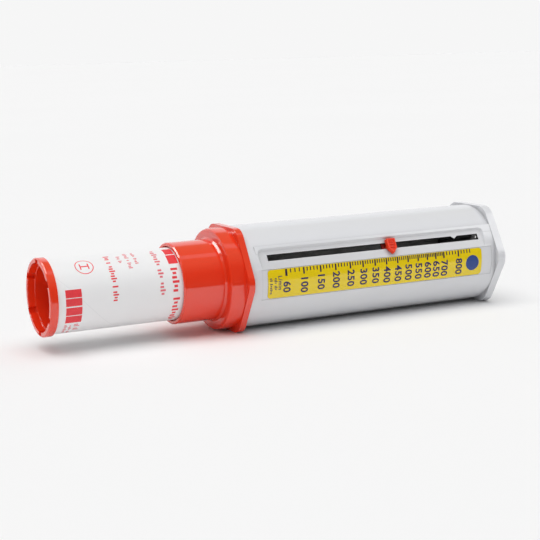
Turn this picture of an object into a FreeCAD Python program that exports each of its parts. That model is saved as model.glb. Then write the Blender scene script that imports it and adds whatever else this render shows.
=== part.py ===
import FreeCAD, Part

import os
import re

import Sketcher

# Mini peak flow meter with a disposable cardboard mouthpiece.
# All sizes are millimetres. Every piece is drawn along X from the mouth ring's front face, with
# the meter's axis at Y = Z = 0, and is then placed with the axis one flange flat above the floor.

SIZES = {
    # mouthpiece: red ring with its sleeve, valve seat and flap, and the cardboard tube
    "ring_length": 3.2,
    "ring_lip": 0.83,
    "ring_face": 1.98,
    "ring_bevel": 0.5,
    "ledge_depth": 3.0,
    "mouth_taper": 0.3,
    "notch_count": 6,
    "notch_width": 2.8,
    "notch_web": 0.65,
    "tube_radius": 15.0,
    "tube_wall": 1.0,
    "tube_showing": 52.55,
    "tube_inserted": 16.0,
    "sleeve_fit": 0.05,
    "sleeve_wall": 0.95,
    "sleeve_length": 13.0,
    "seat_thickness": 1.5,
    "seat_lip": 2.8,
    "flap_lap": 1.4,
    "flap_thickness": 0.5,
    "flap_drop": 0.4,
    "flap_gap": 0.05,
    "hinge_lift": 0.1,
    "clip_width": 6.0,
    "clip_height": 1.5,
    "clip_depth": 1.2,
    "clip_clearance": 0.4,
    # nozzle: red front moulding that takes the mouthpiece and carries the rod's front end
    "nozzle_fit": 0.1,
    "socket_entry": 1.6,
    "socket_flare": 0.5,
    "nozzle_wall": 1.84,
    "nozzle_length": 18.5,
    "lip_bevel": 0.5,
    "root_bevel": 0.8,
    "stop_step": 1.9,
    "shoulder_step": 0.26,
    "shoulder_length": 6.75,
    "shoulder_wall": 2.0,
    "shoulder_bevel": 1.5,
    "flange_rise": 0.29,
    "flange_thickness": 2.7,
    "flange_corner": 7.0,
    "spigot_length": 6.5,
    "spigot_wall": 1.45,
    "spigot_fit": 0.05,
    "hub_radius": 4.2,
    "hub_length": 6.0,
    "hub_behind_flange": 2.5,
    "arm_count": 3,
    "arm_width": 2.0,
    "arm_depth": 4.0,
    # barrel: grey tube with the slot panel, the label recess and the rear flange
    "barrel_length": 125.45,
    "bore_radius": 19.9,
    "barrel_wall": 1.76,
    "rear_flange_thickness": 3.75,
    "rear_recess": 2.75,
    "plate_step": 0.5,
    "plate_thickness": 3.0,
    "plate_fit": 0.05,
    "pad_rise": 0.09,
    "pad_top": 4.3,
    "pad_bottom": 0.9,
    "pad_front": 3.45,
    "tray_depth": 0.71,
    "tray_top": 2.3,
    "tray_reach": 7.0,
    "tray_front": 5.05,
    "tray_behind": 9.0,
    "tray_slope": 45.0,
    "tray_corner": 2.2,
    "slot_front": 8.6,
    "slot_behind": 11.25,
    "slot_top": 0.45,
    "slot_width": 2.7,
    "tooth_behind": 12.5,
    "tooth_base": 3.4,
    "tooth_height": 1.22,
    "label_front": 7.2,
    "label_behind": 11.05,
    "label_drop": 12.38,
    "label_height": 12.21,
    "label_thickness": 0.15,
    "label_corner": 1.5,
    "recess_depth": 0.2,
    "recess_margin": 0.34,
    "recess_front": 4.6,
    "recess_behind": 5.55,
    # rod, piston and return spring inside the bore
    "rod_radius": 1.5,
    "rod_fit": 0.05,
    "rod_end": 1.0,
    "rod_bevel": 0.38,
    "nut_flat": 2.75,
    "nut_height": 2.4,
    "clip_radius": 3.2,
    "clip_thickness": 0.6,
    "buffer_thickness": 1.5,
    "piston_rest_gap": 0.05,
    "piston_gap": 0.3,
    "piston_length": 4.5,
    "piston_wall": 0.7,
    "piston_web": 0.8,
    "piston_hub_front": 2.8,
    "piston_hub_rear": 4.4,
    "piston_hub_wall": 0.8,
    "rib_count": 6,
    "rib_width": 0.8,
    "rib_height": 1.4,
    "bush_wall": 0.7,
    "bush_fit": 0.02,
    "boss_radius": 4.5,
    "boss_length": 3.0,
    "seat_cup_fit": 0.43,
    "seat_cup_thickness": 0.8,
    "seat_cup_rim": 1.6,
    "rear_buffer_fit": 0.47,
    "rear_buffer_length": 4.0,
    "wire_radius": 0.3,
    "spring_gap": 0.3,
    "spring_turns": 6,
    "vent_count": 8,
    "vent_width": 2.6,
    "vent_length": 8.0,
    "vent_at": 12.6,
    # pointer that the piston leaves at the highest reading
    "pointer_at": 68.0,
    "pointer_width": 4.3,
    "pointer_top": 1.7,
    "pointer_side": 2.65,
    "pointer_tip": 5.1,
    "pointer_rise": 1.34,
    "pointer_lift": 0.1,
    "pointer_edge": 0.3,
    "rim_width": 0.75,
    "rim_depth": 0.4,
    "neck_length": 3.6,
    "neck_clearance": 0.12,
    "shoe_length": 6.4,
    "shoe_thickness": 1.3,
    "shoe_fit": 0.05,
    "shoe_middle_angle": 4.5,
    "shoe_spread_angle": 24.0,
    "shoe_clearance": 0.35,
    "leaf_turn_angle": 8.0,
    "leaf_width": 1.6,
    "leaf_thickness": 0.15,
    "leaf_span": 5.0,
    "leaf_foot": 0.8,
    "leaf_rise": 0.5,
    "leaf_room": 0.1,
}

# Places and radii that follow from the sizes above, as formulas in their names.
PLACES = {
    "tube_inner": "tube_radius - tube_wall",
    "sleeve_outer": "tube_inner - sleeve_fit",
    "sleeve_inner": "sleeve_outer - sleeve_wall",
    "ring_radius": "tube_radius + ring_lip",
    "mouth_radius": "ring_radius - ring_face",
    "notch_reach": "ring_radius - notch_web",
    "seat_back": "ring_length + sleeve_length + seat_thickness",
    "seat_opening": "sleeve_inner - seat_lip",
    "flap_radius": "seat_opening + flap_lap",
    "flap_front": "seat_back + flap_gap",
    "flap_hinge_height": "flap_radius - flap_drop + hinge_lift",
    "clip_bottom": "flap_hinge_height + clip_clearance",
    "lip_at": "ring_length + tube_showing",
    "tube_end": "lip_at + tube_inserted",
    "stop_at": "tube_end + sleeve_fit",
    "nozzle_bore": "tube_radius + nozzle_fit",
    "nozzle_radius": "nozzle_bore + nozzle_wall",
    "stop_radius": "nozzle_bore - stop_step",
    "barrel_radius": "bore_radius + barrel_wall",
    "shoulder_radius": "barrel_radius - shoulder_step",
    "flange_flat": "barrel_radius + flange_rise",
    "shoulder_at": "lip_at + nozzle_length",
    "flange_at": "shoulder_at + shoulder_length",
    "barrel_at": "flange_at + flange_thickness",
    "barrel_end": "barrel_at + barrel_length",
    "rear_flange_at": "barrel_end - rear_flange_thickness",
    "spigot_outer": "bore_radius - spigot_fit",
    "spigot_inner": "spigot_outer - spigot_wall",
    "spigot_end": "barrel_at + spigot_length",
    "plate_radius": "bore_radius + plate_step",
    "pad_height": "barrel_radius + pad_rise",
    "tray_floor": "barrel_radius - tray_depth",
    "tray_cut": "pad_height + recess_depth",
    "tray_run": "(tray_cut - tray_floor) * tan(tray_slope)",
    "tray_from": "barrel_at + tray_front",
    "tray_to": "barrel_end - tray_behind",
    "label_from": "barrel_at + label_front",
    "label_to": "barrel_end - label_behind",
    "label_bed": "barrel_radius - recess_depth",
    "recess_from": "barrel_at + recess_front",
    "recess_to": "barrel_end - recess_behind",
    "hub_end": "barrel_at + hub_behind_flange",
    "hub_front": "hub_end - hub_length",
    "rod_hole": "rod_radius + bush_fit",
    "buffer_end": "hub_end + buffer_thickness",
    "piston_front": "buffer_end + piston_rest_gap",
    "piston_web_at": "piston_front + piston_hub_front",
    "piston_end": "piston_web_at + piston_length",
    "piston_hub_end": "piston_web_at + piston_web + piston_hub_rear",
    "piston_radius": "bore_radius - piston_gap",
    "bush_inner": "rod_radius + rod_fit",
    "bush_outer": "bush_inner + bush_wall",
    "piston_hub_inner": "bush_outer + bush_fit",
    "piston_hub_outer": "piston_hub_inner + piston_hub_wall",
    "plate_back": "barrel_end - rear_recess",
    "plate_at": "plate_back - plate_thickness",
    "boss_at": "plate_at - boss_length",
    "seat_cup_at": "boss_at - seat_cup_thickness",
    "spring_radius": "piston_hub_outer + spring_gap + wire_radius",
    "seat_cup_radius": "spring_radius + wire_radius + seat_cup_fit + seat_cup_thickness",
    "rear_buffer_radius": "spring_radius - wire_radius - rear_buffer_fit",
    "spring_front": "piston_web_at + piston_web",
    "spring_length": "seat_cup_at - spring_front",
    "slot_bottom": "slot_top - slot_width",
    "slot_from": "barrel_at + slot_front",
    "slot_to": "barrel_end - slot_behind",
    "tooth_tip": "slot_to - tooth_behind",
    "neck_low": "slot_bottom + neck_clearance",
    "neck_high": "slot_top - tooth_height - neck_clearance",
    "pointer_middle": "barrel_at + pointer_at",
    "pointer_bottom": "tray_floor + pointer_lift",
    "pointer_height": "barrel_radius + pointer_rise",
    "tip_slope": "2 * (pointer_tip - pointer_side) / pointer_width",
    "tip_stretch": "sqrt(1 + tip_slope ^ 2)",
    "shoe_outer": "bore_radius - shoe_fit",
    "shoe_inner": "shoe_outer - shoe_thickness",
    "leaf_floor": "shoe_outer - leaf_rise - leaf_thickness - leaf_room",
}

# One side of the hexagon turns the slot panel from the top to the reader's side.
PANEL_TURN = 60.0
# The shoulder's front edge and the tray's corners are rounded in this many even bevels.
BEVEL_STEPS = 2
# The spring's wire is drawn with this many flat sides.
WIRE_SIDES = 4
# Edges are told apart to this closeness.
CLOSE = 0.0001
X_AXIS = FreeCAD.Vector(1, 0, 0)
Y_AXIS = FreeCAD.Vector(0, 1, 0)

doc = FreeCAD.newDocument("PeakFlowMeter")
sheet = doc.addObject("Spreadsheet::Sheet", "Sizes")
for row, (alias, number) in enumerate(SIZES.items(), start=1):
    sheet.set(f"A{row}", alias)
    sheet.set(f"B{row}", str(number))
    sheet.setAlias(f"B{row}", alias)
doc.recompute()


def linked(formula):
    """Write a formula of size and place names with the sheet's cells in their stead."""
    def swap(found):
        name = found.group(0)
        if name in PLACES:
            return "(" + linked(PLACES[name]) + ")"
        return "Sizes." + name if name in SIZES else name
    return re.sub(r"[a-z_]+", swap, formula)


def value(formula):
    """Work a formula out in millimetres or degrees."""
    return float(sheet.evalExpression(linked(formula)))


def new_body(label):
    """Start a piece as a PartDesign body with its own label."""
    body = doc.addObject("PartDesign::Body", "".join(word.title() for word in label.split("_")))
    body.Label = label
    return body


def place(piece, turn=0.0):
    """Set a piece in the meter's frame: origin under its middle, flats on the floor."""
    piece.Placement = FreeCAD.Placement(FreeCAD.Vector(), FreeCAD.Rotation(X_AXIS, turn))
    piece.setExpression(".Placement.Base.x", linked("-barrel_end / 2"))
    piece.setExpression(".Placement.Base.z", linked("flange_flat"))


def origin_feature(body, role):
    """Find one of a body's own origin planes or axes."""
    return next(item for item in body.Origin.OriginFeatures if item.Role == role)


def new_sketch(body, name, plane, lift="0", turn="0"):
    """Attach an empty sketch to a body's plane, lifted off it or turned about the meter's axis."""
    sketch = body.newObject("Sketcher::SketchObject", name)
    sketch.AttachmentSupport = [(origin_feature(body, plane), "")]
    sketch.MapMode = "FlatFace"
    sketch.AttachmentOffset = FreeCAD.Placement(
        FreeCAD.Vector(0, 0, value(lift)), FreeCAD.Rotation(X_AXIS, value(turn)))
    if lift != "0":
        sketch.setExpression(".AttachmentOffset.Base.z", linked(lift))
    if turn != "0":
        sketch.setExpression(".AttachmentOffset.Rotation.Angle", linked(turn))
    return sketch


def bind(sketch, kind, geometry, point, formula):
    """Dimension one point of a sketch with a formula."""
    number = sketch.addConstraint(Sketcher.Constraint(kind, geometry, point, value(formula)))
    sketch.setExpression(f"Constraints[{number}]", linked(formula))


def polygon(sketch, corners):
    """Draw a closed outline whose corners are pairs of formulas."""
    points = [FreeCAD.Vector(value(across), value(up), 0) for across, up in corners]
    first = sketch.GeometryCount
    for start, end in zip(points, points[1:] + points[:1]):
        sketch.addGeometry(Part.LineSegment(start, end), False)
    for number, (across, up) in enumerate(corners):
        before = (number - 1) % len(corners)
        sketch.addConstraint(Sketcher.Constraint("Coincident", first + before, 2, first + number, 1))
        bind(sketch, "DistanceX", first + number, 1, across)
        bind(sketch, "DistanceY", first + number, 1, up)
    return sketch


def circle(sketch, across, up, radius):
    """Draw a circle whose centre and radius are formulas."""
    centre = FreeCAD.Vector(value(across), value(up), 0)
    number = sketch.addGeometry(Part.Circle(centre, FreeCAD.Vector(0, 0, 1), value(radius)), False)
    bind(sketch, "DistanceX", number, 3, across)
    bind(sketch, "DistanceY", number, 3, up)
    size = sketch.addConstraint(Sketcher.Constraint("Radius", number, value(radius)))
    sketch.setExpression(f"Constraints[{size}]", linked(radius))
    return sketch


def box_corners(low_across, high_across, low_up, high_up):
    """List a rectangle's corners."""
    return [(low_across, low_up), (high_across, low_up), (high_across, high_up), (low_across, high_up)]


def hexagon_corners(flat):
    """List a hexagon's corners, its flats above and below."""
    corner = f"({flat}) * 2 / sqrt(3)"
    half = f"({flat}) / sqrt(3)"
    return [(corner, "0"), (half, flat), (f"-{half}", flat), (f"-{corner}", "0"),
            (f"-{half}", f"-({flat})"), (half, f"-({flat})")]


def arc_angle(height):
    """Write the angle that an arc length takes up on the barrel."""
    return f"({height}) / barrel_radius * 180 / pi"


def quarter_round(end, outer, radius, inward="+"):
    """List the corners of an end's outer edge rounded in even bevels, from the end inwards."""
    angles = [90 - 90 * step / BEVEL_STEPS for step in range(BEVEL_STEPS + 1)]
    return [(f"{end} {inward} {radius} * (1 - sin({angle}))", f"{outer} - {radius} * (1 - cos({angle}))")
            for angle in angles]


def turned(body, name, corners, cut=False, middle=None, spread=None):
    """Turn a profile about the meter's axis, all round or over a spread about a middle angle."""
    sketch = polygon(new_sketch(body, name + "Sketch", "XZ_Plane", turn=middle or "0"), corners)
    feature = body.newObject("PartDesign::Groove" if cut else "PartDesign::Revolution", name)
    feature.Profile = sketch
    feature.ReferenceAxis = (sketch, ["H_Axis"])
    feature.Angle = 360.0
    if spread:
        feature.Midplane = True
        feature.setExpression("Angle", linked(spread))
    finish_feature(body, feature, sketch)
    return feature


def padded(body, name, sketch, length, both_ways=False):
    """Pad a sketch by a formula's length."""
    pad = body.newObject("PartDesign::Pad", name)
    pad.Profile = sketch
    pad.Midplane = both_ways
    pad.setExpression("Length", linked(length))
    finish_feature(body, pad, sketch)
    return pad


def pocketed(body, name, sketch, length, both_ways=False, slope=None):
    """Cut a sketch in by a formula's length, against its normal, with upright or sloping walls."""
    pocket = body.newObject("PartDesign::Pocket", name)
    pocket.Profile = sketch
    pocket.Midplane = both_ways
    pocket.setExpression("Length", linked(length))
    if slope:
        pocket.setExpression("TaperAngle", linked(slope))
    finish_feature(body, pocket, sketch)
    return pocket


def finish_feature(body, feature, sketch):
    """Hide a used sketch and check that the feature built."""
    sketch.Visibility = False
    doc.recompute()
    if feature.Shape.isNull() or not feature.Shape.isValid():
        raise ValueError(f"{body.Label}: {feature.Name} failed")


def ringed(body, feature, name, count):
    """Repeat a feature round the meter's axis."""
    pattern = body.newObject("PartDesign::PolarPattern", name)
    pattern.Originals = [feature]
    pattern.Axis = (origin_feature(body, "X_Axis"), [""])
    pattern.Angle = 360.0
    pattern.setExpression("Occurrences", linked(count))
    body.Tip = pattern
    doc.recompute()
    return pattern


def dressed(body, kind, name, edges, length, formula):
    """Dress the edges that a test picks on the body's last feature."""
    base = body.Tip
    names = [f"Edge{number}" for number, edge in enumerate(base.Shape.Edges, start=1) if edges(edge)]
    if not names:
        raise ValueError(f"{body.Label}: no edge for {name}")
    dress = body.newObject(kind, name)
    dress.Base = (base, names)
    dress.setExpression(length, linked(formula))
    doc.recompute()
    return dress


def rounded(body, name, edges, radius):
    """Round picked edges."""
    return dressed(body, "PartDesign::Fillet", name, edges, "Radius", radius)


def chamfered(body, name, edges, size):
    """Break picked edges with a flat bevel."""
    return dressed(body, "PartDesign::Chamfer", name, edges, "Size", size)


def circle_edge(*circles):
    """Pick round edges by pairs of place along X and radius."""
    wanted = [(value(along), value(radius)) for along, radius in circles]

    def test(edge):
        if not isinstance(edge.Curve, Part.Circle):
            return False
        along = edge.Curve.Center.x
        radius = edge.Curve.Radius
        return any(abs(along - a) < CLOSE and abs(radius - b) < CLOSE for a, b in wanted)
    return test


def straight_edge(direction, length, beyond=0.0):
    """Pick straight edges by direction, length and least distance from the meter's axis."""
    def test(edge):
        if not isinstance(edge.Curve, Part.Line):
            return False
        run = edge.Vertexes[1].Point - edge.Vertexes[0].Point
        middle = edge.CenterOfMass
        away = (middle.y ** 2 + middle.z ** 2) ** 0.5
        return (abs(edge.Length - value(length)) < CLOSE and away > beyond
                and abs(abs(run.normalize().dot(direction)) - 1) < CLOSE)
    return test


def make_tube():
    """Cardboard tube between the mouth ring and the nozzle's stop."""
    body = new_body("mouthpiece_tube")
    turned(body, "TubeWall", box_corners("ring_length", "tube_end", "tube_inner", "tube_radius"))
    place(body)
    return body


def make_valve_body():
    """Red mouth ring with a notched mouth, a sleeve in the tube and a valve seat."""
    body = new_body("valve_body")
    turned(body, "RingAndSleeve", [
        ("0", "mouth_radius"), ("0", "ring_radius"), ("ring_length", "ring_radius"),
        ("ring_length", "sleeve_outer"), ("seat_back", "sleeve_outer"), ("seat_back", "seat_opening"),
        ("seat_back - seat_thickness", "seat_opening"), ("seat_back - seat_thickness", "sleeve_inner"),
        ("ledge_depth", "sleeve_inner"), ("ledge_depth", "mouth_radius - mouth_taper")])
    chamfered(body, "RingEdge", circle_edge(("0", "ring_radius")), "ring_bevel")
    notch = new_sketch(body, "NotchSketch", "YZ_Plane", lift="ledge_depth")
    polygon(notch, box_corners("-notch_width / 2", "notch_width / 2", "sleeve_inner", "notch_reach"))
    cut = pocketed(body, "Notch", notch, "ledge_depth")
    ringed(body, cut, "Notches", "notch_count")
    place(body)
    return body


def make_valve_flap():
    """Thin disc that hangs on the seat from its top edge and lets breath in only."""
    body = new_body("valve_flap")
    sketch = new_sketch(body, "FlapSketch", "YZ_Plane", lift="flap_front")
    circle(sketch, "0", "-flap_drop", "flap_radius")
    padded(body, "FlapDisc", sketch, "flap_thickness")
    place(body)
    return body


def make_valve_clip():
    """Bar that holds the flap's fixed edge on the seat."""
    body = new_body("valve_clip")
    sketch = new_sketch(body, "ClipSketch", "YZ_Plane", lift="seat_back")
    polygon(sketch, box_corners("-clip_width / 2", "clip_width / 2",
                                "clip_bottom", "clip_bottom + clip_height"))
    padded(body, "ClipBar", sketch, "clip_depth")
    place(body)
    return body


def make_nozzle():
    """Red front moulding: nozzle, shoulder, hexagon flange, spigot and the rod's hub on three arms."""
    body = new_body("nozzle")
    turned(body, "NozzleWall", [
        ("lip_at", "nozzle_bore + socket_flare"), ("lip_at", "nozzle_radius"),
        ("shoulder_at", "nozzle_radius"),
        *quarter_round("shoulder_at", "shoulder_radius", "shoulder_bevel"),
        ("barrel_at", "shoulder_radius"),
        ("barrel_at", "spigot_outer"), ("spigot_end", "spigot_outer"), ("spigot_end", "spigot_inner"),
        ("shoulder_at + shoulder_wall", "spigot_inner"), ("shoulder_at + shoulder_wall", "stop_radius"),
        ("stop_at", "stop_radius"), ("stop_at", "nozzle_bore"),
        ("lip_at + socket_entry", "nozzle_bore")])
    flange = polygon(new_sketch(body, "FlangeSketch", "YZ_Plane", lift="flange_at"),
                     hexagon_corners("flange_flat"))
    circle(flange, "0", "0", "spigot_inner")
    padded(body, "Flange", flange, "flange_thickness")
    rounded(body, "FlangeCorners",
            straight_edge(X_AXIS, "flange_thickness", value("flange_flat")), "flange_corner")
    chamfered(body, "NozzleRoot", circle_edge(("shoulder_at", "nozzle_radius")), "root_bevel")
    chamfered(body, "NozzleLip", circle_edge(("lip_at", "nozzle_radius")), "lip_bevel")
    arm = new_sketch(body, "ArmSketch", "YZ_Plane", lift="hub_end - arm_depth")
    polygon(arm, box_corners("-arm_width / 2", "arm_width / 2",
                             "hub_radius / 2", "spigot_inner + spigot_wall / 2"))
    first_arm = padded(body, "Arm", arm, "arm_depth")
    ringed(body, first_arm, "Arms", "arm_count")
    hub = circle(new_sketch(body, "HubSketch", "YZ_Plane", lift="hub_front"), "0", "0", "hub_radius")
    padded(body, "Hub", hub, "hub_length")
    hole = circle(new_sketch(body, "RodHoleSketch", "YZ_Plane", lift="hub_end"), "0", "0", "rod_hole")
    pocketed(body, "RodHole", hole, "hub_length")
    place(body)
    return body


def make_barrel():
    """Grey tube with its rear hexagon flange, slot panel, tray, slot, tooth and label recess."""
    body = new_body("barrel")
    turned(body, "BarrelOutside", box_corners("barrel_at", "barrel_end", "0", "barrel_radius"))
    flange = polygon(new_sketch(body, "RearFlangeSketch", "YZ_Plane", lift="rear_flange_at"),
                     hexagon_corners("flange_flat"))
    padded(body, "RearFlange", flange, "rear_flange_thickness")
    rounded(body, "RearFlangeCorners",
            straight_edge(X_AXIS, "rear_flange_thickness", value("flange_flat")), "flange_corner")
    panel = new_sketch(body, "PanelSketch", "YZ_Plane", lift="barrel_at + pad_front")
    polygon(panel, box_corners("pad_bottom", "pad_top", "bore_radius / 2", "pad_height"))
    padded(body, "SlotPanel", panel, "rear_flange_at - barrel_at - pad_front")
    turned(body, "Bore", [
        ("barrel_at", "0"), ("barrel_at", "bore_radius"), ("plate_at", "bore_radius"),
        ("plate_at", "plate_radius"), ("barrel_end", "plate_radius"), ("barrel_end", "0")], cut=True)
    tray = new_sketch(body, "TraySketch", "XY_Plane", lift="tray_cut")
    tray_rim = "tray_top + tray_run"
    polygon(tray, [
        ("tray_from - tray_run", "-tray_reach"),
        *quarter_round("tray_from - tray_run", tray_rim, "tray_corner"),
        *reversed(quarter_round("tray_to + tray_run", tray_rim, "tray_corner", inward="-")),
        ("tray_to + tray_run", "-tray_reach")])
    pocketed(body, "Tray", tray, "tray_cut - tray_floor", slope="-tray_slope")
    slot = new_sketch(body, "SlotSketch", "XY_Plane", lift="tray_cut")
    polygon(slot, [
        ("slot_from", "slot_bottom"), ("slot_to", "slot_bottom"), ("slot_to", "slot_top"),
        ("tooth_tip + tooth_base / 2", "slot_top"), ("tooth_tip", "slot_top - tooth_height"),
        ("tooth_tip - tooth_base / 2", "slot_top"), ("slot_from", "slot_top")])
    pocketed(body, "Slot", slot, "tray_cut")
    turned(body, "LabelRecess",
           box_corners("recess_from", "recess_to", "label_bed", "barrel_radius + recess_depth"),
           cut=True, middle=arc_angle("label_drop"), spread=arc_angle("label_height + 2 * recess_margin"))
    place(body, PANEL_TURN)
    return body


def make_label():
    """Yellow scale label, bent to the barrel in its recess."""
    body = new_body("scale_label")
    turned(body, "LabelSheet",
           box_corners("label_from", "label_to", "label_bed", "label_bed + label_thickness"),
           middle=arc_angle("label_drop"), spread=arc_angle("label_height"))
    thin = value("label_thickness")
    rounded(body, "LabelCorners", lambda edge: abs(edge.Length - thin) < CLOSE, "label_corner")
    place(body, PANEL_TURN)
    return body


def make_rear_plate():
    """Vented plate that closes the barrel's rear and carries the rod's end in a boss."""
    body = new_body("rear_vent_plate")
    turned(body, "PlateAndBoss", [
        ("boss_at", "rod_hole"), ("boss_at", "boss_radius"), ("plate_at", "boss_radius"),
        ("plate_at", "plate_radius - plate_fit"), ("plate_back", "plate_radius - plate_fit"),
        ("plate_back", "rod_hole")])
    vent = new_sketch(body, "VentSketch", "YZ_Plane", lift="plate_back")
    polygon(vent, box_corners("-vent_width / 2", "vent_width / 2",
                              "vent_at - vent_length / 2", "vent_at + vent_length / 2"))
    first_vent = pocketed(body, "Vent", vent, "plate_thickness")
    ringed(body, first_vent, "Vents", "vent_count")
    place(body)
    return body


def make_rod():
    """Steel rod that the piston slides on."""
    body = new_body("guide_rod")
    rod_from = "hub_front - nut_height - rod_end"
    rod_to = "plate_back + clip_thickness + rod_end"
    turned(body, "Rod", box_corners(rod_from, rod_to, "0", "rod_radius"))
    chamfered(body, "RodEnds", circle_edge((rod_from, "rod_radius"), (rod_to, "rod_radius")), "rod_bevel")
    place(body)
    return body


def make_rod_nut():
    """Hexagon nut that holds the rod in the nozzle's hub."""
    body = new_body("rod_nut")
    sketch = polygon(new_sketch(body, "NutSketch", "YZ_Plane", lift="hub_front - nut_height"),
                     hexagon_corners("nut_flat"))
    circle(sketch, "0", "0", "rod_hole")
    padded(body, "Nut", sketch, "nut_height")
    place(body)
    return body


def make_washer(label, start, thickness, inner, outer):
    """Plain round washer or buffer on the rod."""
    body = new_body(label)
    turned(body, "Ring", box_corners(start, f"{start} + {thickness}", inner, outer))
    place(body)
    return body


def make_spring_seat():
    """Cup washer that centres the spring on the rear boss."""
    body = new_body("spring_seat")
    turned(body, "Cup", [
        ("seat_cup_at - seat_cup_rim", "seat_cup_radius - seat_cup_thickness"),
        ("seat_cup_at - seat_cup_rim", "seat_cup_radius"), ("boss_at", "seat_cup_radius"),
        ("boss_at", "rod_hole"), ("seat_cup_at", "rod_hole"),
        ("seat_cup_at", "seat_cup_radius - seat_cup_thickness")])
    place(body)
    return body


def make_piston():
    """Light piston: rim, ribbed web and hub, with a flat that clears the pointer's shoe."""
    body = new_body("piston")
    inner = "piston_radius - piston_wall"
    web_back = "piston_web_at + piston_web"
    turned(body, "RimWebHub", [
        ("piston_front", "piston_hub_inner"), ("piston_front", "piston_hub_outer"),
        ("piston_web_at", "piston_hub_outer"), ("piston_web_at", "piston_radius"),
        ("piston_end", "piston_radius"), ("piston_end", inner), (web_back, inner),
        (web_back, "piston_hub_outer"), ("piston_hub_end", "piston_hub_outer"),
        ("piston_hub_end", "piston_hub_inner")])
    rib = new_sketch(body, "RibSketch", "YZ_Plane", lift="piston_web_at - rib_height")
    polygon(rib, box_corners("-rib_width / 2", "rib_width / 2", "(piston_hub_inner + piston_hub_outer) / 2",
                             "spigot_inner - 2 * piston_gap"))
    first_rib = padded(body, "Rib", rib, "rib_height + piston_web / 2")
    ringed(body, first_rib, "Ribs", "rib_count")
    flat = new_sketch(body, "ShoeFlatSketch", "XZ_Plane", turn="shoe_middle_angle")
    polygon(flat, box_corners("piston_web_at - rib_height", "piston_end + piston_web",
                              "shoe_inner * cos(shoe_spread_angle / 2) - shoe_clearance", "bore_radius"))
    pocketed(body, "ShoeFlat", flat, "2 * bore_radius", both_ways=True)
    place(body, PANEL_TURN)
    return body


def make_bush():
    """Slippery bush in the piston's hub."""
    body = new_body("piston_bush")
    turned(body, "Bush", box_corners("piston_front", "piston_hub_end", "bush_inner", "bush_outer"))
    place(body)
    return body


def make_spring():
    """Long, light return spring between the piston's web and the rear cup."""
    helix = doc.addObject("Part::Helix", "SpringLine")
    helix.setExpression("Pitch", linked("(spring_length - 2 * wire_radius) / spring_turns"))
    helix.setExpression("Height", linked("spring_length - 2 * wire_radius"))
    helix.setExpression("Radius", linked("spring_radius"))
    wire = doc.addObject("Part::RegularPolygon", "SpringWire")
    wire.Polygon = WIRE_SIDES
    wire.setExpression("Circumradius", linked("wire_radius"))
    wire.Placement = FreeCAD.Placement(FreeCAD.Vector(), FreeCAD.Rotation(X_AXIS, 90))
    wire.setExpression(".Placement.Base.x", linked("spring_radius"))
    doc.recompute()
    spring = doc.addObject("Part::Sweep", "ReturnSpring")
    spring.Label = "return_spring"
    spring.Sections = [wire]
    spring.Spine = (helix, [])
    spring.Solid = True
    spring.Frenet = True
    spring.Placement = FreeCAD.Placement(FreeCAD.Vector(), FreeCAD.Rotation(Y_AXIS, 90))
    spring.setExpression(".Placement.Base.x", linked("spring_front + wire_radius - barrel_end / 2"))
    spring.setExpression(".Placement.Base.z", linked("flange_flat"))
    doc.recompute()
    return spring


def pointer_outline(inset):
    """List the arrow's corners, each side moved in by an inset."""
    side = f"(pointer_width / 2 - {inset})"
    top = f"pointer_top - {inset}"
    point = f"{inset} * tip_stretch - pointer_tip"
    low = f"{inset} * (tip_stretch - tip_slope) - pointer_side"
    return [(f"pointer_middle - {side}", top), (f"pointer_middle - {side}", low),
            ("pointer_middle", point), (f"pointer_middle + {side}", low),
            (f"pointer_middle + {side}", top)]


def make_pointer():
    """Red arrow over the slot, with a sunken face and a neck down to its shoe."""
    body = new_body("pointer")
    arrow = polygon(new_sketch(body, "ArrowSketch", "XY_Plane", lift="pointer_bottom"), pointer_outline("0"))
    padded(body, "Arrow", arrow, "pointer_height - pointer_bottom")
    tall = value("pointer_height - pointer_bottom")
    rounded(body, "ArrowCorners", lambda edge: abs(edge.Length - tall) < CLOSE, "pointer_edge")
    face = new_sketch(body, "FaceSketch", "XY_Plane", lift="pointer_height")
    polygon(face, pointer_outline("rim_width"))
    pocketed(body, "SunkenFace", face, "rim_depth")
    neck = new_sketch(body, "NeckSketch", "XY_Plane", lift="shoe_inner + shoe_thickness / 3")
    polygon(neck, box_corners("pointer_middle - neck_length / 2", "pointer_middle + neck_length / 2",
                              "neck_low", "neck_high"))
    padded(body, "Neck", neck, "pointer_bottom - shoe_inner - shoe_thickness / 3 + pointer_lift")
    place(body, PANEL_TURN)
    return body


def make_pointer_shoe():
    """Saddle that runs in the bore under the slot, with holes for the neck and the leaf."""
    body = new_body("pointer_shoe")
    turned(body, "Saddle",
           box_corners("pointer_middle - shoe_length / 2", "pointer_middle + shoe_length / 2",
                       "shoe_inner", "shoe_outer"),
           middle="shoe_middle_angle", spread="shoe_spread_angle")
    hole = new_sketch(body, "NeckHoleSketch", "XY_Plane", lift="bore_radius")
    side = "(neck_length / 2 + bush_fit)"
    polygon(hole, box_corners(f"pointer_middle - {side}", f"pointer_middle + {side}",
                              "neck_low - bush_fit", "neck_high + bush_fit"))
    pocketed(body, "NeckHole", hole, "bore_radius")
    bed = new_sketch(body, "LeafBedSketch", "XZ_Plane", turn="shoe_middle_angle + leaf_turn_angle")
    polygon(bed, box_corners("pointer_middle - leaf_span / 2 - leaf_room",
                             "pointer_middle + leaf_span / 2 + leaf_room", "leaf_floor", "bore_radius"))
    pocketed(body, "LeafBed", bed, "leaf_width + 2 * leaf_room", both_ways=True)
    place(body, PANEL_TURN)
    return body


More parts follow.
